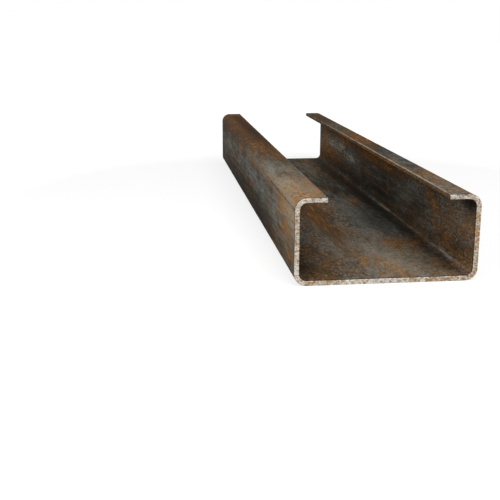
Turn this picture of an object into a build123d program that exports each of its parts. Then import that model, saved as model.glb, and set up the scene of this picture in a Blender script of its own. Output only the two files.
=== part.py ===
from build123d import *

import os

# Lipped C purlin: one strip of hot-rolled steel, cold-formed to a C section and sawn to length.
# It lies on the back of its web with the mouth of the C upwards.
# X runs across the web, Y along the length and Z up from the web to the lips.
# The origin is on the back of the web, at the middle of its width and of the length.
# All sizes are in millimetres, over the outside of the steel.

purlin_length = 630.0
web_width = 150.0
flange_height = 71.0
lip_length = 26.0
steel_thickness = 4.0
inner_bend_radius = 6.0
slit_edge_radius = 0.6
saw_edge_break = 0.3


def strip_corners():
    """Sharp corners of the section's outer line, from the left lip's tip round to the right one's."""
    side = web_width / 2
    tip = side - lip_length
    return [
        (-tip, flange_height),
        (-side, flange_height),
        (-side, 0),
        (side, 0),
        (side, flange_height),
        (tip, flange_height),
    ]


def section_outline():
    """The C section: the strip's outer line with its four bends, thickened inwards.

    The bends keep the strip's thickness, so the outside of each is the inner radius plus the
    thickness. The two slit edges of the strip, at the tips of the lips, are slightly rounded.
    """
    outer_bend_radius = inner_bend_radius + steel_thickness
    outer_line = FilletPolyline(*strip_corners(), radius=outer_bend_radius)
    strip = make_face(offset(outer_line, amount=steel_thickness, side=Side.LEFT, closed=True))
    tip = web_width / 2 - lip_length
    slit_corners = [corner for corner in strip.vertices() if abs(corner.X) < tip + steel_thickness / 2]
    return fillet(slit_corners, min(slit_edge_radius, 0.45 * steel_thickness))


def sawn_ends(purlin):
    """Edges round the two sawn faces."""
    end_faces = purlin.faces().filter_by(Axis.Y)
    return [edge for face in end_faces for edge in face.edges()]


def c_purlin():
    """The section along the whole length, with the sharp edges of the saw cuts broken."""
    section = Plane.XZ * section_outline()
    purlin = extrude(section, amount=purlin_length / 2, both=True)
    return chamfer(sawn_ends(purlin), saw_edge_break)


purlin = c_purlin()
purlin.label = "c_purlin"

os.makedirs("parts", exist_ok=True)
export_step(purlin, "parts/c_purlin.step")
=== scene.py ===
"""A short lipped C purlin: hot-rolled strip, cold-formed to a C, sawn to length and left to rust.

Lengths are in metres. In the weathering and the finishes, places and sizes are in millimetres.
"""

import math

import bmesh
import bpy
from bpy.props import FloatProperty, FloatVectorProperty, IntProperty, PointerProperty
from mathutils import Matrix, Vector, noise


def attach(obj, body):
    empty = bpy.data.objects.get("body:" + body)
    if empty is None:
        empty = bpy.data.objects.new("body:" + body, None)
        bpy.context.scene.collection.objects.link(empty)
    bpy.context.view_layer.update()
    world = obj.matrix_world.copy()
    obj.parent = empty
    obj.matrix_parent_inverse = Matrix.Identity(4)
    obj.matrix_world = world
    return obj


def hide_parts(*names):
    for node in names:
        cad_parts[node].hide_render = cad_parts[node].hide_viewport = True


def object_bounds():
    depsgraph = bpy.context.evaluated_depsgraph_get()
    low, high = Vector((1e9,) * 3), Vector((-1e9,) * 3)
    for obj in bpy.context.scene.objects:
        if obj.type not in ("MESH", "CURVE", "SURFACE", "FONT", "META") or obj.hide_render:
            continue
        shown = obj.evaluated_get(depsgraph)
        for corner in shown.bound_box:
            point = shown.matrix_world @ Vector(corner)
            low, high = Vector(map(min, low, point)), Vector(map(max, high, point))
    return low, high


bl_info = {
    "name": "Lipped C purlin",
    "version": (1, 0, 0),
    "blender": (4, 5, 0),
    "location": "3D View > Sidebar > Purlin",
    "description": "Makes a rusty lipped C purlin on a plain studio floor",
    "category": "Add Mesh",
}

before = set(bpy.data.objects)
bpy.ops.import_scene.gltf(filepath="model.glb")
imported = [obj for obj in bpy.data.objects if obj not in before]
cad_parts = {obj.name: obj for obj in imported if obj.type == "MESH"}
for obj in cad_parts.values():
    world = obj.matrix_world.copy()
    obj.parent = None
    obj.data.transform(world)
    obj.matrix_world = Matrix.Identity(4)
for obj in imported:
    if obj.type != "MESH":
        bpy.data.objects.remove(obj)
CAD_LOW, CAD_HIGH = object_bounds()

NODE = "c_purlin"
MM = 0.001


def srgb(hex_colour):
    """A colour written as #rrggbb, as the linear numbers that the shaders take."""
    channels = [int(hex_colour[i:i + 2], 16) / 255 for i in (1, 3, 5)]
    return tuple(c / 12.92 if c <= 0.04045 else ((c + 0.055) / 1.055) ** 2.4 for c in channels)


def metres(name, description, default):
    """A length that a user can change."""
    return FloatProperty(
        name=name, description=description, default=default, min=0, unit="LENGTH", precision=5
    )


def tint(name, description, hex_colour):
    """A colour that a user can change."""
    return FloatVectorProperty(
        name=name, description=description, default=srgb(hex_colour), min=0, max=1, subtype="COLOR"
    )


class PurlinSection(bpy.types.PropertyGroup):
    """Sizes of the rolled section, over the outside of the steel."""

    length: metres("Length", "Length of the purlin between its saw cuts", CAD_HIGH.y - CAD_LOW.y)
    web_width: metres("Web width", "Width over the outside of the two flanges", CAD_HIGH.x - CAD_LOW.x)
    flange_height: metres(
        "Flange height", "Height from the back of the web to the lips", CAD_HIGH.z - CAD_LOW.z
    )
    lip_length: metres("Lip length", "Length of each lip from the outside of its flange", 26 * MM)
    thickness: metres("Thickness", "Thickness of the strip", 4 * MM)
    bend_radius: metres("Bend radius", "Inner radius of the four bends", 6 * MM)
    slit_rounding: metres("Slit rounding", "Rounding of the strip's slit edges at the lips", 0.6 * MM)
    saw_edge_break: metres("Saw edge break", "Edge broken off round each saw cut", 0.3 * MM)
    bend_segments: IntProperty(
        name="Bend segments", description="Faces round each bend", default=8, min=3
    )
    slit_segments: IntProperty(
        name="Slit segments", description="Faces round the rounding of a slit edge", default=3, min=1
    )


class PurlinRelief(bpy.types.PropertyGroup):
    """Unevenness of the steel's surface, which is cut into it from its true size."""

    step_round: metres("Step round the section", "Mesh size round the section", 1.7 * MM)
    step_along: metres("Step along the length", "Mesh size along the purlin", 2.9 * MM)
    step_through: metres("Step through the strip", "Mesh size across a sawn end", 0.6 * MM)
    waviness: metres("Waviness", "Depth of the broad waves of rolling", 0.08 * MM)
    scabs: metres("Scabs", "Depth between rust scabs and bare scale", 0.10 * MM)
    nicks: metres("Nicks", "Depth of the nicks along the slit edges", 0.12 * MM)
    burr: metres("Saw burr", "Raggedness of the saw cut's edges", 0.02 * MM)
    clean_cut: metres("Clean cut", "Distance from a saw cut over which the relief fades out", 4 * MM)


class PurlinFinish(bpy.types.PropertyGroup):
    """Colours of the weathered steel."""

    mill_scale: tint("Mill scale", "Unbroken mill scale", "#393832")
    # Thin clean scale, and partly a painted reflection along the middle of the left flange's outside.
    thin_scale: tint("Thin scale", "Blue-grey scale where it is thin and clean", "#696a64")
    film: tint("Rust film", "First thin brown film of rust", "#543f2a")
    # Dry dust, and also the colour of the painted highlight on the crown of the left lip's bend and along
    # the right slit edge.
    dust_and_highlight: tint("Dust", "Dry tan dust of rust and dirt", "#a5937a")
    stain: tint("Rust stain", "Soft orange-brown stain of rust water", "#7d4f27")
    rust: tint("Rust", "Grown rust", "#7c562d")
    bloom: tint("Fresh rust", "Fresh orange rust on the crests", "#a2723a")
    scuff: tint("Scuffs", "Small pale scuffs", "#9c978c")
    pits: tint("Pits", "Dark pits in the scale", "#241d14")
    # Dark dirt, and also the colour of the painted shade in corners, under the lips and low on the left
    # flange.
    grime_and_shade: tint("Grime", "Dark dirt in the sheltered places", "#1c1914")
    # Rubbed edges, and also the colour of the painted highlight along the upper corners of the slit edges.
    worn_and_highlight: tint("Worn steel", "Rubbed edges", "#9d958a")
    cut_steel: tint("Cut steel", "Bare steel of the saw cuts", "#dcd7ce")
    smudge: tint("Smudges", "Grey smudges on the saw cuts", "#a39b8c")
    cut_rust: tint("Rust on the cut", "Rust flecks on the saw cuts", "#a2733b")
    cut_pits: tint("Pits on the cut", "Dark pits in the saw cuts", "#5a4a36")


class StudioSettings(bpy.types.PropertyGroup):
    """Floor, lamps and camera."""

    floor_colour: tint("Floor", "Colour of the floor", "#cfcfcf")
    floor_size: metres("Floor size", "Side of the square floor", 14.0)
    ambient: FloatProperty(
        name="Ambient", description="Strength of the even light from all round", default=0.22
    )
    azimuth: FloatProperty(
        name="Azimuth", description="Camera direction, from straight ahead",
        default=math.radians(-6.838), subtype="ANGLE",
    )
    elevation: FloatProperty(
        name="Elevation", description="Camera height above the horizon",
        default=math.radians(14.706), subtype="ANGLE",
    )
    distance: metres("Distance", "From the camera to the point it is aimed at", 0.99195)
    aim: FloatVectorProperty(
        name="Aim", description="Point that the camera is aimed at",
        default=(-0.07367, -0.01322, -0.04879), unit="LENGTH",
    )
    lens: FloatProperty(
        name="Lens", description="Focal length on a 36 mm sensor, in millimetres",
        default=62.914, unit="CAMERA",
    )


def put_in_scene(name, data):
    """A new object in the scene, which holds a mesh, a lamp or a camera."""
    holder = bpy.data.objects.new(name, data)
    bpy.context.scene.collection.objects.link(holder)
    return holder


def bend_centres(section):
    """Outer bend radius, and the place of the bends' centres across and up."""
    outer = section.bend_radius + section.thickness
    return outer, section.web_width / 2 - outer, section.flange_height - outer


def place_on_strip(section, x, z):
    """Distance round the section from the middle of the web, and depth under the strip's outer side.

    The distance is measured in the middle of the thickness and is negative on the left. On the edge of a
    lip the depth is added to it, so that it goes on across that edge.
    """
    outer, across, top = bend_centres(section)
    middle_radius = outer - section.thickness / 2
    turn = middle_radius * math.pi / 2
    side = abs(x)
    if side > across and z < outer:
        angle = math.atan2(side - across, outer - z)
        round_it = across + angle * middle_radius
        out = math.hypot(side - across, outer - z)
    elif side > across and z > top:
        angle = math.atan2(z - top, side - across)
        round_it = across + turn + (top - outer) + angle * middle_radius
        out = math.hypot(side - across, z - top)
    elif side > across:
        round_it = across + turn + (z - outer)
        out = side - across
    elif z < section.flange_height / 2:
        round_it = side
        out = outer - z
    else:
        round_it = across + 2 * turn + (top - outer) + (across - side)
        out = z - top
    depth = outer - out
    tip = section.web_width / 2 - section.lip_length
    if z > top and side < tip + section.slit_rounding:
        round_it += depth * (1 - (side - tip) / section.slit_rounding)
    return math.copysign(round_it, x), depth


def outer_line(section):
    """The outside of the strip as a gutter with no thickness: sharp corners first, then the bends."""
    side = section.web_width / 2
    tip = side - section.lip_length
    top = section.flange_height
    corners = [(-tip, top), (-side, top), (-side, 0), (side, 0), (side, top), (tip, top)]
    gutter = bmesh.new()
    points = [gutter.verts.new((x, -section.length / 2, z)) for x, z in corners]
    lines = [gutter.edges.new(pair) for pair in zip(points, points[1:])]
    drawn = bmesh.ops.extrude_edge_only(gutter, edges=lines)["geom"]
    far = [item for item in drawn if isinstance(item, bmesh.types.BMVert)]
    bmesh.ops.translate(gutter, verts=far, vec=(0, section.length, 0))
    bends = [edge for edge in gutter.edges if len(edge.link_faces) == 2]
    bmesh.ops.bevel(
        gutter, geom=bends, offset=bend_centres(section)[0], offset_type="OFFSET",
        segments=section.bend_segments, profile=0.5, affect="EDGES", material=-1,
    )
    return gutter


# An edge is lengthwise if more than this share of it runs along the purlin.
LENGTHWISE_SHARE = 0.9
# Edges where the surface turns by more than this are the slit and sawn ones, and not those of the bends.
SHARP_TURN = math.radians(60)


def is_lengthwise(edge):
    """Whether an edge runs along the purlin, and not across it."""
    return abs(edge.verts[0].co.y - edge.verts[1].co.y) > LENGTHWISE_SHARE * edge.calc_length()


def sharp_edges(steel):
    """The edges that the slitting and the saw left."""
    return [edge for edge in steel.edges if edge.calc_face_angle() > SHARP_TURN]


def break_edges(steel, section):
    """Rounds the slit edges at the tips of the lips and breaks the edges round the saw cuts."""
    slit_edges = [edge for edge in sharp_edges(steel) if is_lengthwise(edge)]
    bmesh.ops.bevel(
        steel, geom=slit_edges, offset=section.slit_rounding, offset_type="OFFSET",
        segments=section.slit_segments, profile=0.5, affect="EDGES", material=-1,
    )
    bmesh.ops.bevel(
        steel, geom=sharp_edges(steel), offset=section.saw_edge_break, offset_type="OFFSET",
        segments=1, profile=0.5, affect="EDGES", material=-1,
    )


def divide(steel, edges, step):
    """Cuts the edges into pieces of about one step, those of like length with the same number of cuts."""
    groups = {}
    for edge in edges:
        groups.setdefault(max(1, round(edge.calc_length() / step)), []).append(edge)
    for pieces, alike in groups.items():
        bmesh.ops.subdivide_edges(steel, edges=alike, cuts=pieces - 1, use_grid_fill=True)


def divide_finely(steel, section, relief):
    """Makes the mesh fine enough for the relief.

    It is divided round the flat walls, through the strip on the sawn ends, and along the purlin. The
    edges round the bends, the roundings and the broken edges are short already, and stay whole.
    """
    shortest_wall = 1.5 * section.thickness
    shortest_through = 0.6 * section.thickness
    crosswise = [edge for edge in steel.edges if not is_lengthwise(edge)]
    walls = [edge for edge in crosswise if edge.calc_length() > shortest_wall]
    through = [edge for edge in crosswise if shortest_through < edge.calc_length() <= section.thickness]
    divide(steel, walls, relief.step_round)
    pieces = round(section.thickness / relief.step_through)
    bmesh.ops.subdivide_edges(steel, edges=through, cuts=pieces - 1, use_grid_fill=True)
    long_edges = [edge for edge in steel.edges if edge.calc_length() > section.length / 2]
    divide(steel, long_edges, relief.step_along)


# Where the purlin weathered unlike the rest, and where shade, highlights and a reflection are painted on
# it: what shows there, the side of the strip, the place round the section from the middle of the web and
# along from the front saw cut, how far it reaches each way (millimetres), and how strong it is. Where
# patches of a kind overlap, the strongest shows.
PATCHES = [
    # left lip and its bend
    ("dust_and_highlight", "outside", -149, 30, 14, 90, 0.55),
    ("dust_and_highlight", "outside", -149, 130, 10, 50, 0.35),
    # painted highlight on the crown of the left lip's bend, near the front
    ("dust_and_highlight", "outside", -132, 60, 5, 150, 0.85),
    ("dust_and_highlight", "outside", -138, 50, 9, 70, 0.7),
    ("bare_and_sheen", "outside", -134, 45, 7, 60, 0.6),
    ("drawn", "outside", -136, 130, 16, 130, 0.4),
    ("rust", "outside", -136, 14, 10, 24, 1.1),
    ("dust_and_highlight", "outside", -142, 10, 8, 26, 0.85),
    ("rust", "outside", -148, 170, 10, 90, 0.15),
    ("bare_and_sheen", "outside", -134, 190, 7, 90, 0.7),
    ("scuffed", "outside", -134, 170, 8, 110, 0.5),
    ("rust", "outside", -150, 12, 12, 40, 0.9),
    ("rust", "outside", -134, 250, 3, 110, 0.8),
    ("stain", "outside", -148, 460, 12, 230, 0.72),
    ("brown", "outside", -147, 270, 12, 110, 0.4),
    ("brown", "outside", -150, 480, 18, 250, 1.0),
    # painted shade, darkening the left lip towards the rear
    ("grime_and_shade", "outside", -151, 440, 14, 240, 0.80),
    ("drawn", "outside", -150, 500, 12, 300, 0.7),
    # thin dark line where the left lip's bend starts: painted shade in the crease
    ("grime_and_shade", "outside", -128.6, 100, 0.9, 140, 0.58),
    # outside of the left flange
    ("rust", "outside", -90, 14, 12, 24, 1.3),
    ("rust", "outside", -120, 40, 9, 45, 0.8),
    ("rust", "outside", -104, 22, 26, 34, 1.3),
    ("bare_and_sheen", "outside", -104, 50, 20, 50, 0.3),
    ("drawn", "outside", -104, 60, 28, 130, 0.8),
    ("brown", "outside", -98, 14, 24, 26, 0.1),
    ("dust_and_highlight", "outside", -100, 30, 22, 50, 0.40),
    ("rust", "outside", -92, 250, 16, 240, 0.5),
    ("brown", "outside", -86, 320, 15, 270, 0.2),
    ("grime_and_shade", "outside", -104, 160, 12, 100, 0.2),
    ("rust", "outside", -124, 210, 6, 190, 1.0),
    ("stain", "outside", -124, 230, 4, 130, 0.22),
    ("dust_and_highlight", "outside", -120, 20, 18, 60, 0.9),
    # painted highlight along the crown of the left lip's bend
    ("dust_and_highlight", "outside", -129, 170, 5, 150, 0.54),
    ("brown", "outside", -128, 470, 7, 160, 0.4),
    # thin blue-grey scale along the middle of the left flange, partly a painted reflection
    ("bare_and_sheen", "outside", -106, 300, 14, 250, 0.80),
    # painted shade darkening the lower bend and the lower part of the left flange's outside
    ("grime_and_shade", "outside", -76, 340, 30, 310, 1.0),
    ("grime_and_shade", "outside", -106, 440, 20, 170, 0.12),
    ("grime_and_shade", "outside", -126, 570, 16, 130, 0.34),
    ("drawn", "outside", -104, 400, 26, 320, 1.0),
    # inside of the web
    ("rust", "inside", -12, 215, 12, 90, 0.9),
    ("brown", "inside", -12, 235, 13, 95, 0.5),
    ("stain", "inside", -12, 230, 9, 90, 0.38),
    ("dust_and_highlight", "inside", -22, 175, 8, 50, 0.3),
    ("drawn", "inside", -12, 200, 14, 110, 1.0),
    ("drawn", "inside", 42, 420, 26, 240, 0.9),
    ("stain", "inside", -8, 110, 10, 60, 0.35),
    ("rust", "inside", 50, 25, 18, 45, 0.8),
    ("brown", "inside", -55, 20, 16, 80, 0.5),
    ("rust", "inside", 20, 40, 50, 70, 0.4),
    ("rust", "inside", 45, 108, 24, 20, 0.8),
    ("dust_and_highlight", "inside", 22, 60, 40, 80, 0.5),
    ("dust_and_highlight", "inside", -22, 90, 16, 80, 0.35),
    ("dust_and_highlight", "inside", 35, 560, 22, 70, 0.25),
    ("bare_and_sheen", "inside", 16, 90, 26, 90, 0.6),
    ("bare_and_sheen", "inside", 6, 18, 12, 30, 0.7),
    ("bare_and_sheen", "inside", 34, 220, 20, 90, 1.0),
    ("bare_and_sheen", "inside", 40, 335, 16, 50, 0.2),
    # painted shade on the right part of the web, under the right lip and flange
    ("grime_and_shade", "inside", 45, 210, 24, 120, 0.58),
    ("grime_and_shade", "inside", 41, 375, 17, 80, 0.54),
    # painted shade in the web's left corner under the left lip, near the front
    ("grime_and_shade", "inside", -64, 75, 12, 80, 0.85),
    ("grime_and_shade", "inside", -44, 105, 14, 60, 0.42),
    # inside of the lower right bend
    ("brown", "inside", 72, 210, 5, 90, 0.5),
    ("stain", "inside", 64, 430, 8, 140, 0.5),
    # painted shade along the inside of the lower right bend
    ("grime_and_shade", "inside", 63, 300, 12, 330, 0.92),
    # inside of the right flange
    ("rust", "inside", 92, 40, 24, 52, 1.0),
    ("rust", "inside", 110, 36, 10, 50, 0.7),
    ("brown", "inside", 108, 36, 12, 50, 0.2),
    ("dust_and_highlight", "inside", 110, 20, 10, 44, 0.24),
    ("brown", "inside", 88, 40, 14, 50, 0.1),
    ("grime_and_shade", "inside", 84, 55, 12, 50, 0.45),
    ("stain", "inside", 104, 95, 4, 9, 0.3),
    ("stain", "inside", 110, 104, 4, 9, 0.55),
    ("stain", "inside", 116, 118, 4, 12, 0.55),
    # painted shadow in the corner under the right lip, at its front
    ("grime_and_shade", "inside", 130, 4, 9, 34, 0.9),
    ("stain", "inside", 117, 320, 5, 70, 0.5),
    ("stain", "inside", 118, 490, 4, 130, 0.6),
    ("stain", "inside", 95, 610, 24, 30, 0.4),
    ("rust", "inside", 102, 90, 5, 10, 0.7),
    ("rust", "inside", 110, 103, 6, 12, 1.0),
    ("rust", "inside", 116, 120, 5, 16, 1.0),
    ("rust", "inside", 120, 380, 7, 260, 1.0),
    ("brown", "inside", 117, 300, 7, 90, 0.8),
    ("rust", "inside", 98, 605, 30, 35, 0.8),
    ("brown", "inside", 84, 570, 12, 90, 0.7),
    ("bare_and_sheen", "inside", 107, 180, 12, 60, 0.25),
    ("bare_and_sheen", "inside", 102, 440, 11, 40, 0.5),
    ("bare_and_sheen", "inside", 106, 515, 10, 50, 0.45),
    ("scuffed", "inside", 103, 430, 9, 40, 1.1),
    ("scuffed", "inside", 106, 490, 12, 45, 1.1),
    ("scuffed", "inside", 106, 550, 8, 40, 1.0),
    ("dust_and_highlight", "inside", 102, 590, 22, 40, 0.3),
    # painted shade over the middle of the right flange's inside, which faces away from the light
    ("grime_and_shade", "inside", 78, 330, 14, 250, 0.78),
    ("grime_and_shade", "inside", 86, 290, 14, 120, 0.9),
    ("grime_and_shade", "inside", 104, 270, 16, 120, 0.52),
    ("grime_and_shade", "inside", 98, 165, 24, 60, 0.45),
    ("grime_and_shade", "inside", 88, 355, 14, 40, 0.8),
    ("drawn", "inside", 90, 250, 30, 150, 0.8),
    # outside of the right flange
    ("drawn", "outside", 104, 320, 26, 400, 1.0),
    # right lip
    ("dust_and_highlight", "outside", 149, 30, 12, 60, 0.3),
    ("rust", "outside", 147, 60, 14, 70, 0.4),
    ("bare_and_sheen", "outside", 147, 205, 10, 70, 0.55),
    ("rust", "outside", 148, 335, 14, 60, 0.8),
    ("brown", "outside", 148, 330, 14, 80, 0.7),
    ("dust_and_highlight", "outside", 148, 450, 14, 60, 0.15),
    ("brown", "outside", 148, 590, 14, 70, 0.6),
    # painted shade, darkening the right lip along its middle and rear
    ("grime_and_shade", "outside", 148, 210, 22, 190, 0.50),
    ("grime_and_shade", "outside", 150, 530, 22, 130, 0.42),
    # slit edges at the tips of the lips: painted highlight along their upper corners, rust below, and a
    # thin dark line along the right one's lower corner
    ("wear_and_highlight", "both", 157.0, 230, 1.2, 420, 0.80),
    ("dust_and_highlight", "outside", 156.6, 230, 1.6, 400, 0.55),
    ("rust", "both", 159.5, 300, 1.7, 330, 1.0),
    ("brown", "both", 159.5, 300, 1.7, 330, 0.8),
    ("grime_and_shade", "both", 161.3, 300, 0.6, 330, 0.8),
    ("wear_and_highlight", "both", -157.2, 270, 0.8, 280, 0.4),
    ("rust", "both", -159.5, 300, 1.7, 330, 1.0),
    # rubbed line along the inside of the lower right bend
    ("wear_and_highlight", "inside", 71.8, 60, 2.5, 60, 0.54),
    ("wear_and_highlight", "inside", 71.8, 220, 2.2, 200, 0.44),
    ("wear_and_highlight", "inside", 71.5, 480, 2.2, 130, 0.3),
    # thin dark bands on the inside next to the saw cuts
    ("grime_and_shade", "inside", 0, 0, 400, 2.2, 0.9),
    ("grime_and_shade", "inside", 0, 630, 400, 2.2, 0.9),
    # dark outer rim of the front saw cut
    ("rim", "outside", -112, 0, 34, 1.5, 1.0),
    ("rim", "outside", -150, 0, 12, 1.5, 1.0),
    ("rim", "outside", 148, 0, 12, 1.5, 1.0),
    # rust starting on the cut faces
    ("flash", "both", 100, 0, 60, 20, 1.0),
    ("flash", "both", 40, 0, 30, 20, 0.9),
    ("flash", "both", -50, 0, 20, 20, 0.8),
    ("flash", "both", -110, 0, 30, 20, 0.6),
    ("flash", "both", -150, 0, 8, 20, 0.7),
    ("flash", "both", -120, 630, 60, 20, 0.8),
]
# The kinds of weathering, some of which also carry painted shade, highlights and a reflection. Each is an
# attribute of the mesh, which the coats of the finish follow.
KINDS = (
    "bare_and_sheen",  # thin clean scale, and partly a painted reflection along the middle of the left flange
    "brown",  # brown film of rust
    "stain",  # stain of rust water
    "rust",  # grown rust
    "dust_and_highlight",  # dry dust, and painted highlight on the left lip's bend and the right slit edge
    "scuffed",  # small scuffs
    "grime_and_shade",  # dark dirt, and painted shade in corners, under the lips and on sides turned from the light
    "wear_and_highlight",  # rubbed edges, and painted highlight along the slit edges' upper corners
    "flash",  # rust starting on a saw cut
    "drawn",  # mottles drawn into streaks by the rolls
    "rim",  # dark outer rim of a saw cut
)
# How far the dark rim of a saw cut reaches into the cut face from the outside, in millimetres.
RIM_REACH = 0.24


def weathering(section, x, y, z):
    """How strongly each kind of weathering shows at a point of the surface, with 0 for not at all."""
    round_it, depth = place_on_strip(section, x, z)
    side = "outside" if depth < section.thickness / 2 else "inside"
    round_mm, along_mm = round_it / MM, (y + section.length / 2) / MM
    amounts = dict.fromkeys(KINDS, 0.0)
    for kind, on, at_round, at_along, wide, long, strength in PATCHES:
        if on in (side, "both"):
            far = ((round_mm - at_round) / wide) ** 2 + ((along_mm - at_along) / long) ** 2
            amounts[kind] = max(amounts[kind], strength * math.exp(-far))
    amounts["rim"] *= math.exp(-(depth / MM / RIM_REACH) ** 2)
    return amounts


# How far apart the forms of the relief are, across and along the purlin.
WAVES_APART = (50 * MM, 110 * MM)
SCABS_APART = (7 * MM, 13 * MM)
NICKS_APART = (4 * MM, 6 * MM)
BURRS_APART = (2.2 * MM, 2.2 * MM)
# Between these two values of the noise, a form goes from nothing to its full depth.
SCABS_BETWEEN = (-0.25, 0.35)
NICKS_BETWEEN = (0.1, 0.7)
BURRS_BETWEEN = (-0.1, 0.6)
# Fractal increment, lacunarity and octaves of the scabs.
SCABS_FRACTAL = (0.8, 2.1, 4)
# Places in the noise for the two lips and for the two ends, far enough apart that they differ.
LIP_PLACE = 3
END_PLACE = 5


def rise(value, low, high):
    """0 below low, 1 above high, smooth in between."""
    t = min(1.0, max(0.0, (value - low) / (high - low)))
    return t * t * (3 - 2 * t)


def noise_place(point, apart):
    """The point in the noise for forms that are so far apart across and along the purlin."""
    across, along = apart
    return Vector((point.x / across, point.y / along, point.z / across))


def roughen(steel, section, relief):
    """Cuts the relief into the surface.

    Every point moves into the steel, so the purlin stays within its true size.
    """
    steel.normal_update()
    tip = section.web_width / 2 - section.lip_length
    burr_width = 1.1 * section.saw_edge_break
    for vert in steel.verts:
        x, y, z = vert.co
        to_end = section.length / 2 - abs(y)
        from_cut = min(1.0, to_end / relief.clean_cut)
        wave = (1 + noise.noise(noise_place(vert.co, WAVES_APART))) / 2
        scab = noise.fractal(noise_place(vert.co, SCABS_APART), *SCABS_FRACTAL)
        depth = from_cut * (relief.waviness * wave + relief.scabs * rise(scab, *SCABS_BETWEEN))
        if z > section.flange_height / 2 and abs(x) < tip + section.slit_rounding:
            place = noise_place(vert.co, NICKS_APART)
            place.x = math.copysign(LIP_PLACE, x)
            depth += from_cut * relief.nicks * rise(noise.noise(place), *NICKS_BETWEEN)
        if to_end < burr_width:
            place = noise_place(vert.co, BURRS_APART)
            place.y = math.copysign(END_PLACE, y)
            depth += relief.burr * rise(noise.noise(place), *BURRS_BETWEEN)
        vert.co -= vert.normal * depth


# A face belongs to a saw cut if its normal points along the purlin by more than this.
SAWN_NORMAL = 0.5
# Faces that turn by less than this from one to the next are shaded as one smooth surface.
SMOOTH_TURN = math.radians(40)


def purlin_mesh(section, relief):
    """The purlin's mesh: rolled faces in slot 0, sawn faces in slot 1, the weathering on its points."""
    steel = outer_line(section)
    bmesh.ops.recalc_face_normals(steel, faces=steel.faces)
    bmesh.ops.solidify(steel, geom=steel.faces, thickness=section.thickness)
    break_edges(steel, section)
    divide_finely(steel, section, relief)
    bmesh.ops.recalc_face_normals(steel, faces=steel.faces)
    layers = {kind: steel.verts.layers.float.new(kind) for kind in KINDS}
    for vert in steel.verts:
        for kind, amount in weathering(section, *vert.co).items():
            vert[layers[kind]] = amount
    for face in steel.faces:
        face.smooth = True
        face.material_index = int(abs(face.normal.y) > SAWN_NORMAL)
    for edge in steel.edges:
        edge.smooth = edge.calc_face_angle() < SMOOTH_TURN
    roughen(steel, section, relief)
    mesh = bpy.data.meshes.new(NODE + "_steel")
    steel.to_mesh(mesh)
    steel.free()
    return mesh


# Sockets of a Mix node, for numbers and for colours.
FACTOR = 0
NUMBER_BELOW, NUMBER_ABOVE, NUMBER_MIXED = 2, 3, 0
COLOUR_BELOW, COLOUR_ABOVE, COLOUR_MIXED = 6, 7, 2


def add_node(tree, kind, inputs=(), **settings):
    """Adds a node, sets it, and gives each input its value or the output that feeds it."""
    node = tree.nodes.new(kind)
    for name, value in settings.items():
        setattr(node, name, value)
    for socket, value in dict(inputs).items():
        if isinstance(value, bpy.types.NodeSocket):
            tree.links.new(value, node.inputs[socket])
        else:
            node.inputs[socket].default_value = value
    return node


def emptied_tree(owner):
    """Switches on the nodes of a material or world, and gives its tree with nothing in it."""
    owner.use_nodes = True
    owner.node_tree.nodes.clear()
    return owner.node_tree


def per_metre(size_mm):
    """The scale of a pattern in object space whose features are this many millimetres across."""
    return 1000 / size_mm


def paint(finish, tone):
    """The colour of that name in the finish, as a shader takes it."""
    return (*getattr(finish, tone), 1)


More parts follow.
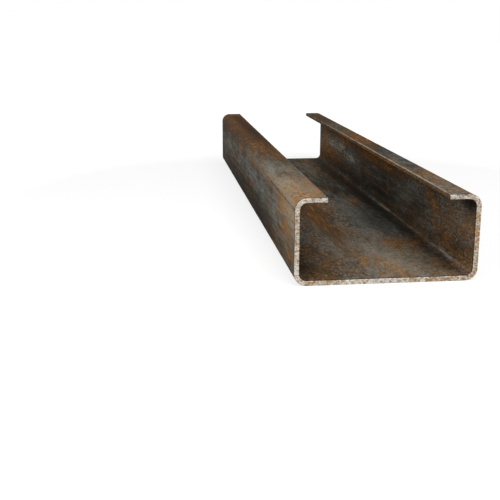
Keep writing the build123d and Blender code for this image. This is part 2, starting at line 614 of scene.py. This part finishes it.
# The coats on the rolled steel, from the scale outwards. Each is a mottle of one grain size, in
# millimetres, drawn out so many times along the direction of rolling. It shows where the noise passes from
# its first threshold to its second, up to its cover. The weathering and the broad drifts pull the noise up
# or down, so that a coat spreads or thins out there. Proud is how far it stands out in the bump, in
# millimetres. Real flecks of rust, pits and scuffs are mostly finer than 1 mm, about a pixel of the render.
# They are drawn 2 to 3 mm across, as coarse as they need to be to show.
ROLLED_COATS = [
    {"tone": "film", "grain": 3.6, "drawn": 2.2, "detail": 6, "shows": (0.42, 0.66), "cover": 0.80,
     "pull": {"brown": 0.30, "rust": 0.05, "damp": 0.30, "bare_and_sheen": -0.12, "blotch": 0.25},
     "metallic": 0.0, "roughness": 0.96, "proud": 0.02},
    {"tone": "thin_scale", "grain": 2.8, "drawn": 2.3, "detail": 6, "shows": (0.44, 0.62), "cover": 0.80,
     "pull": {"bare_and_sheen": 0.12, "scour": 0.50, "brown": -0.26, "rust": -0.02, "dust_and_highlight": 0.05, "blotch": -0.25},
     "metallic": 0.05, "roughness": 0.85, "proud": 0.0},
    {"tone": "stain", "grain": 3.2, "drawn": 2.6, "detail": 6, "shows": (0.45, 1.25), "cover": 0.80,
     "pull": {"stain": 0.75, "damp": 0.10},
     "metallic": 0.0, "roughness": 1.0, "proud": 0.0},
    {"tone": "dust_and_highlight", "grain": 2.6, "drawn": 2.2, "detail": 6, "shows": (0.45, 1.35), "cover": 0.75,
     "pull": {"dust_and_highlight": 0.75},
     "metallic": 0.0, "roughness": 1.0, "proud": 0.0},
    {"tone": "rust", "grain": 2.8, "drawn": 2.1, "detail": 5, "shows": (0.54, 0.63), "cover": 0.80,
     "pull": {"rust": 0.06, "damp": 0.40, "bare_and_sheen": -0.05, "brown": 0.03},
     "metallic": 0.0, "roughness": 1.0, "proud": 0.05},
    {"tone": "bloom", "grain": 2.2, "drawn": 2.1, "detail": 4, "shows": (0.57, 0.65), "cover": 0.90,
     "pull": {"rust": 0.05, "damp": 0.35, "dust_and_highlight": 0.02, "bare_and_sheen": -0.03},
     "metallic": 0.0, "roughness": 1.0, "proud": 0.03},
    {"tone": "scuff", "grain": 2.0, "drawn": 2.6, "detail": 4, "shows": (0.58, 0.70), "cover": 0.55,
     "pull": {"scuffed": 0.08, "bare_and_sheen": 0.07, "scour": 0.30, "brown": -0.20},
     "metallic": 0.2, "roughness": 0.6, "proud": 0.0},
    {"tone": "scuff", "grain": 5.0, "drawn": 3.5, "detail": 4, "shows": (0.70, 0.78), "cover": 0.45,
     "pull": {"scuffed": 0.25},
     "metallic": 0.2, "roughness": 0.6, "proud": 0.0},
    {"tone": "pits", "grain": 2.0, "drawn": 2.6, "detail": 3, "shows": (0.58, 0.72), "cover": 0.60,
     "pull": {"dust_and_highlight": 0.08},
     "metallic": 0.0, "roughness": 1.0, "proud": -0.05},
    {"tone": "grime_and_shade", "grain": 6.0, "drawn": 3.0, "detail": 6, "shows": (0.45, 1.35), "cover": 0.95,
     "pull": {"grime_and_shade": 0.80, "rim": 0.60},
     "metallic": 0.0, "roughness": 0.96, "proud": 0.0},
    {"tone": "worn_and_highlight", "grain": 5.0, "drawn": 3.0, "detail": 5, "shows": (0.60, 1.00), "cover": 0.70,
     "pull": {"wear_and_highlight": 0.60},
     "metallic": 0.30, "roughness": 0.6, "proud": 0.0},
]

# The coats on the saw cuts, drawn in the same way. The marks of the teeth are left to the roughness, being
# too fine to show, and the flecks are drawn coarser than real ones here too.
SAWN_COATS = [
    {"tone": "smudge", "grain": 3.0, "drawn": 1.0, "detail": 5, "shows": (0.42, 0.65), "cover": 0.75,
     "pull": {"flash": 0.06},
     "metallic": 0.10, "roughness": 0.60, "proud": 0.0},
    {"tone": "cut_rust", "grain": 2.2, "drawn": 1.0, "detail": 4, "shows": (0.535, 0.61), "cover": 0.90,
     "pull": {"flash": 0.08},
     "metallic": 0.0, "roughness": 0.85, "proud": 0.03},
    {"tone": "cut_pits", "grain": 1.8, "drawn": 1.0, "detail": 3, "shows": (0.60, 0.68), "cover": 0.75,
     "pull": {"flash": 0.03},
     "metallic": 0.0, "roughness": 0.9, "proud": -0.03},
    {"tone": "grime_and_shade", "grain": 2.6, "drawn": 1.0, "detail": 4, "shows": (0.45, 1.15), "cover": 0.90,
     "pull": {"rim": 0.90},
     "metallic": 0.0, "roughness": 0.96, "proud": 0.0},
]

# Broad drifts over the surface, which the coats follow: where it was scoured, where it stayed damp, and
# blotches of both. Their size across is in millimetres, and they are drawn out so many times lengthwise.
DRIFTS = {
    "scour": {"size": 24, "drawn": 2.5},
    "damp": {"size": 30, "drawn": 2.5},
    "blotch": {"size": 9, "drawn": 2.5},
}
DRIFT_DETAIL = 5
DRIFT_ROUGHNESS = 0.6
# The middle of Blender's noise, so that a drift pulls both ways.
NOISE_MIDDLE = 0.5

# How much longer the mottles are where the rolls drew them into streaks.
DRAWN_LONGER = 6.0
# How much finer the mottles are in height than across.
FINER_IN_HEIGHT = 1.5
MOTTLE_ROUGHNESS = 0.66
MOTTLE_DISTORTION = 0.3
# Where in the noise the first coat's mottle starts, and how far on each further coat's does, in metres.
MOTTLE_START = (0.0, 0.07, 0.31)
NEXT_MOTTLE = 0.13

# Depth of the bump in millimetres, and the part of it that lies under the bare steel, for the pits.
BUMP_DEPTH = 0.1
BELOW_STEEL = 0.5
# Dry scale, rust and sawn steel have only a faint sheen.
FAINT_SHEEN = 0.05


def weathering_pulls(tree, place, coats):
    """What the coats follow: the mesh's weathering from 0 up, and the drifts round 0."""
    followed = {"drawn"}.union(*(coat["pull"] for coat in coats))
    pulls = {
        kind: add_node(tree, "ShaderNodeAttribute", attribute_name=kind).outputs["Fac"]
        for kind in KINDS if kind in followed
    }
    for drift, form in DRIFTS.items():
        if drift in followed:
            drawn_out = add_node(tree, "ShaderNodeMapping", {
                "Vector": place, "Scale": (1, 1 / form["drawn"], 1),
            }).outputs["Vector"]
            cloud = add_node(tree, "ShaderNodeTexNoise", {
                "Vector": drawn_out, "Scale": per_metre(form["size"]),
                "Detail": DRIFT_DETAIL, "Roughness": DRIFT_ROUGHNESS,
            }).outputs["Fac"]
            pulls[drift] = add_node(
                tree, "ShaderNodeMath", {0: cloud, 1: NOISE_MIDDLE}, operation="SUBTRACT"
            ).outputs[0]
    return pulls


def coat_cover(tree, place, pulls, coat, number):
    """How much of the steel a coat covers at each point, from 0 to its full cover."""
    start_x, start_y, start_z = MOTTLE_START
    start = (start_x + NEXT_MOTTLE * number, start_y, start_z)
    mottles = []
    for drawn in (coat["drawn"], coat["drawn"] * DRAWN_LONGER):
        moved = add_node(tree, "ShaderNodeMapping", {
            "Vector": place, "Location": start, "Scale": (1, 1 / drawn, FINER_IN_HEIGHT),
        }).outputs["Vector"]
        mottles.append(add_node(tree, "ShaderNodeTexNoise", {
            "Vector": moved, "Scale": per_metre(coat["grain"]), "Detail": coat["detail"],
            "Roughness": MOTTLE_ROUGHNESS, "Distortion": MOTTLE_DISTORTION,
        }).outputs["Fac"])
    level = add_node(tree, "ShaderNodeMix", {
        FACTOR: pulls["drawn"], NUMBER_BELOW: mottles[0], NUMBER_ABOVE: mottles[1],
    }).outputs[NUMBER_MIXED]
    for kind, share in coat["pull"].items():
        level = add_node(
            tree, "ShaderNodeMath", {0: pulls[kind], 1: share, 2: level}, operation="MULTIPLY_ADD"
        ).outputs[0]
    first, second = coat["shows"]
    return add_node(tree, "ShaderNodeMapRange", {
        "Value": level, "From Min": first, "From Max": second, "To Max": coat["cover"],
    }, interpolation_type="SMOOTHSTEP").outputs["Result"]


def steel_finish(name, finish, under, coats):
    """A material whose coats lie over one another on the steel, with their own gloss and thickness."""
    material = bpy.data.materials.new(name)
    tree = emptied_tree(material)
    place = add_node(tree, "ShaderNodeTexCoord").outputs["Object"]
    pulls = weathering_pulls(tree, place, coats)
    colour = paint(finish, under["tone"])
    metallic = under["metallic"]
    roughness = under["roughness"]
    height = BELOW_STEEL
    for number, coat in enumerate(coats):
        cover = coat_cover(tree, place, pulls, coat, number)
        colour = add_node(tree, "ShaderNodeMix", {
            FACTOR: cover, COLOUR_BELOW: colour, COLOUR_ABOVE: paint(finish, coat["tone"]),
        }, data_type="RGBA").outputs[COLOUR_MIXED]
        metallic = add_node(tree, "ShaderNodeMix", {
            FACTOR: cover, NUMBER_BELOW: metallic, NUMBER_ABOVE: coat["metallic"],
        }).outputs[NUMBER_MIXED]
        roughness = add_node(tree, "ShaderNodeMix", {
            FACTOR: cover, NUMBER_BELOW: roughness, NUMBER_ABOVE: coat["roughness"],
        }).outputs[NUMBER_MIXED]
        if coat["proud"]:
            height = add_node(tree, "ShaderNodeMath", {
                0: cover, 1: coat["proud"] / BUMP_DEPTH, 2: height,
            }, operation="MULTIPLY_ADD").outputs[0]
    bump = add_node(tree, "ShaderNodeBump", {"Height": height, "Distance": BUMP_DEPTH * MM})
    surface = add_node(tree, "ShaderNodeBsdfPrincipled", {
        "Base Color": colour, "Metallic": metallic, "Roughness": roughness,
        "Normal": bump.outputs["Normal"], "Specular IOR Level": FAINT_SHEEN,
    })
    add_node(tree, "ShaderNodeOutputMaterial", {"Surface": surface.outputs["BSDF"]})
    return material


def rolled_steel(finish):
    """Hot-rolled steel under broken mill scale, rusting in the open.

    The scale is a hard blue-grey oxide, dulled by the weather to a faint sheen. Rust breaks through it as a
    thin brown film, then as matt orange flecks, drawn out a little along the direction of rolling.
    """
    under = {"tone": "mill_scale", "metallic": 0.0, "roughness": 0.85}
    return steel_finish("hot_rolled_steel_rusted", finish, under, ROLLED_COATS)


def sawn_steel(finish):
    """Bare steel of a saw cut.

    It is pale, and matt from the fine marks of the teeth, with rust starting on it in flecks.
    """
    under = {"tone": "cut_steel", "metallic": 0.15, "roughness": 0.55}
    return steel_finish("sawn_steel_flash_rusted", finish, under, SAWN_COATS)


class PURLIN_OT_form(bpy.types.Operator):
    """Forms the purlin from its strip of steel and gives it its weathered finish"""

    bl_idname = "purlin.form"
    bl_label = "Form purlin"

    def execute(self, context):
        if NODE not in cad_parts:
            raise RuntimeError(f"The frame has no node {NODE}, which the purlin stands for.")
        scene = context.scene
        mesh = purlin_mesh(scene.purlin_section, scene.purlin_relief)
        mesh.materials.append(rolled_steel(scene.purlin_finish))
        mesh.materials.append(sawn_steel(scene.purlin_finish))
        purlin = put_in_scene(NODE + "_steel", mesh)
        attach(purlin, "root")
        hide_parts(NODE)
        return {"FINISHED"}


# The floor glows for the eye alone. Near its middle it is seen half lit and half glowing, so that the
# purlin's shadow shows, and past the second distance it only glows, and meets the white background.
GLOW_FROM, GLOW_FULL = 0.35, 0.65
GLOW_STRENGTH_NEAR, GLOW_STRENGTH_FAR = 1.50, 1.05
GLOW_SHARE_NEAR, GLOW_SHARE_FAR = 0.50, 1.0
WHITE = (1, 1, 1, 1)

# The soft lamps: name, place, the point that each faces, its width and height, and its power in watts.
LAMPS = [
    ("key", (0.12, -0.62, 0.74), (0, -0.25, 0.04), (0.5, 0.5), 4.6),
    ("left", (-0.7, -0.75, 0.45), (0, -0.25, 0.04), (0.5, 0.5), 4.5),
    ("back", (-0.65, 0.75, 0.75), (0.03, 0.2, 0.04), (0.6, 0.6), 3.0),
    ("right", (1.15, 0.15, 0.22), (0.075, 0, 0.03), (0.9, 0.4), 4.2),
]

# The camera's sensor in millimetres, and the nearest and furthest distance that it sees in metres.
SENSOR_WIDTH = 36
NEAREST_SEEN, FURTHEST_SEEN = 0.05, 50


def seen_straight(tree):
    """1 where a surface is seen, also in a mirror or through glass, and 0 where it lights another."""
    rays = add_node(tree, "ShaderNodeLightPath").outputs
    seen = rays["Is Camera Ray"]
    for ray in ("Is Glossy Ray", "Is Transmission Ray"):
        seen = add_node(tree, "ShaderNodeMath", {0: seen, 1: rays[ray]}, operation="MAXIMUM").outputs[0]
    return seen


def floor_paint(studio):
    """Matt white paint that is seen lighter than it is lit, so that it meets the white background."""
    material = bpy.data.materials.new("matt_white_floor")
    tree = emptied_tree(material)
    matt = add_node(tree, "ShaderNodeBsdfDiffuse", {"Color": paint(studio, "floor_colour")})
    place = add_node(tree, "ShaderNodeTexCoord").outputs["Object"]
    away = add_node(tree, "ShaderNodeVectorMath", {0: place}, operation="LENGTH").outputs["Value"]
    outwards = {"Value": away, "From Min": GLOW_FROM, "From Max": GLOW_FULL}
    strength = add_node(tree, "ShaderNodeMapRange", {
        **outwards, "To Min": GLOW_STRENGTH_NEAR, "To Max": GLOW_STRENGTH_FAR,
    }).outputs["Result"]
    share = add_node(tree, "ShaderNodeMapRange", {
        **outwards, "To Min": GLOW_SHARE_NEAR, "To Max": GLOW_SHARE_FAR,
    }).outputs["Result"]
    glow = add_node(tree, "ShaderNodeEmission", {"Color": WHITE, "Strength": strength})
    seen = add_node(
        tree, "ShaderNodeMath", {0: seen_straight(tree), 1: share}, operation="MULTIPLY"
    ).outputs[0]
    both = add_node(tree, "ShaderNodeMixShader", {0: seen, 1: matt.outputs[0], 2: glow.outputs[0]})
    add_node(tree, "ShaderNodeOutputMaterial", {"Surface": both.outputs[0]})
    return material


def studio_floor(studio):
    """A square floor under the purlin."""
    sheet = bmesh.new()
    bmesh.ops.create_grid(sheet, x_segments=1, y_segments=1, size=studio.floor_size / 2)
    mesh = bpy.data.meshes.new("floor")
    sheet.to_mesh(mesh)
    sheet.free()
    mesh.materials.append(floor_paint(studio))
    put_in_scene("floor", mesh)


def studio_world(studio):
    """White where it is seen, and a weaker even light on everything."""
    world = bpy.data.worlds.new("studio")
    tree = emptied_tree(world)
    strength = add_node(tree, "ShaderNodeMapRange", {
        "Value": seen_straight(tree), "To Min": studio.ambient, "To Max": 1.0,
    }).outputs["Result"]
    sky = add_node(tree, "ShaderNodeBackground", {"Color": WHITE, "Strength": strength})
    add_node(tree, "ShaderNodeOutputWorld", {"Surface": sky.outputs[0]})
    bpy.context.scene.world = world


def place_facing(holder, place, direction):
    """Puts a lamp or camera at a place and turns it to look in a direction, level from side to side."""
    holder.location = place
    holder.rotation_mode = "QUATERNION"
    holder.rotation_quaternion = direction.to_track_quat("-Z", "Y")


def add_lamp(name, place, target, size, power):
    """A soft rectangular lamp at place that faces target."""
    lamp = bpy.data.lights.new(name, "AREA")
    lamp.shape = "RECTANGLE"
    lamp.size, lamp.size_y = size
    lamp.energy = power
    place_facing(put_in_scene(name, lamp), place, Vector(target) - Vector(place))


def studio_camera(studio):
    """The camera, turned and aimed as the settings say."""
    azimuth, elevation = studio.azimuth, studio.elevation
    back = Vector((
        math.sin(azimuth) * math.cos(elevation),
        -math.cos(azimuth) * math.cos(elevation),
        math.sin(elevation),
    ))
    camera = bpy.data.cameras.new("camera")
    camera.sensor_width = SENSOR_WIDTH
    camera.lens = studio.lens
    camera.clip_start, camera.clip_end = NEAREST_SEEN, FURTHEST_SEEN
    holder = put_in_scene("camera", camera)
    place_facing(holder, Vector(studio.aim) + back * studio.distance, -back)
    bpy.context.scene.camera = holder


class PURLIN_OT_stage(bpy.types.Operator):
    """Sets the floor, the background, the soft lamps and the camera"""

    bl_idname = "purlin.stage"
    bl_label = "Set the stage"

    def execute(self, context):
        studio = context.scene.purlin_studio
        studio_floor(studio)
        studio_world(studio)
        for lamp in LAMPS:
            add_lamp(*lamp)
        studio_camera(studio)
        context.scene.view_settings.view_transform = "Standard"
        return {"FINISHED"}


class VIEW3D_PT_purlin(bpy.types.Panel):
    """Sizes, finish and stage of the purlin"""

    bl_label = "Lipped C purlin"
    bl_space_type = "VIEW_3D"
    bl_region_type = "UI"
    bl_category = "Purlin"

    def list_settings(self, group):
        """Lists every setting of a group in the sidebar."""
        for name in group.__annotations__:
            self.layout.prop(group, name)

    def draw(self, context):
        scene = context.scene
        self.list_settings(scene.purlin_section)
        self.list_settings(scene.purlin_relief)
        self.list_settings(scene.purlin_finish)
        self.layout.operator(PURLIN_OT_form.bl_idname)
        self.list_settings(scene.purlin_studio)
        self.layout.operator(PURLIN_OT_stage.bl_idname)


GROUPS = {
    "purlin_section": PurlinSection,
    "purlin_relief": PurlinRelief,
    "purlin_finish": PurlinFinish,
    "purlin_studio": StudioSettings,
}
CLASSES = (*GROUPS.values(), PURLIN_OT_form, PURLIN_OT_stage, VIEW3D_PT_purlin)


def register():
    for cls in CLASSES:
        bpy.utils.register_class(cls)
    for name, group in GROUPS.items():
        setattr(bpy.types.Scene, name, PointerProperty(type=group))


def unregister():
    for name in GROUPS:
        delattr(bpy.types.Scene, name)
    for cls in reversed(CLASSES):
        bpy.utils.unregister_class(cls)


def main():
    """Makes the purlin and its stage."""
    register()
    bpy.ops.purlin.form()
    bpy.ops.purlin.stage()


if __name__ == "__main__":
    main()
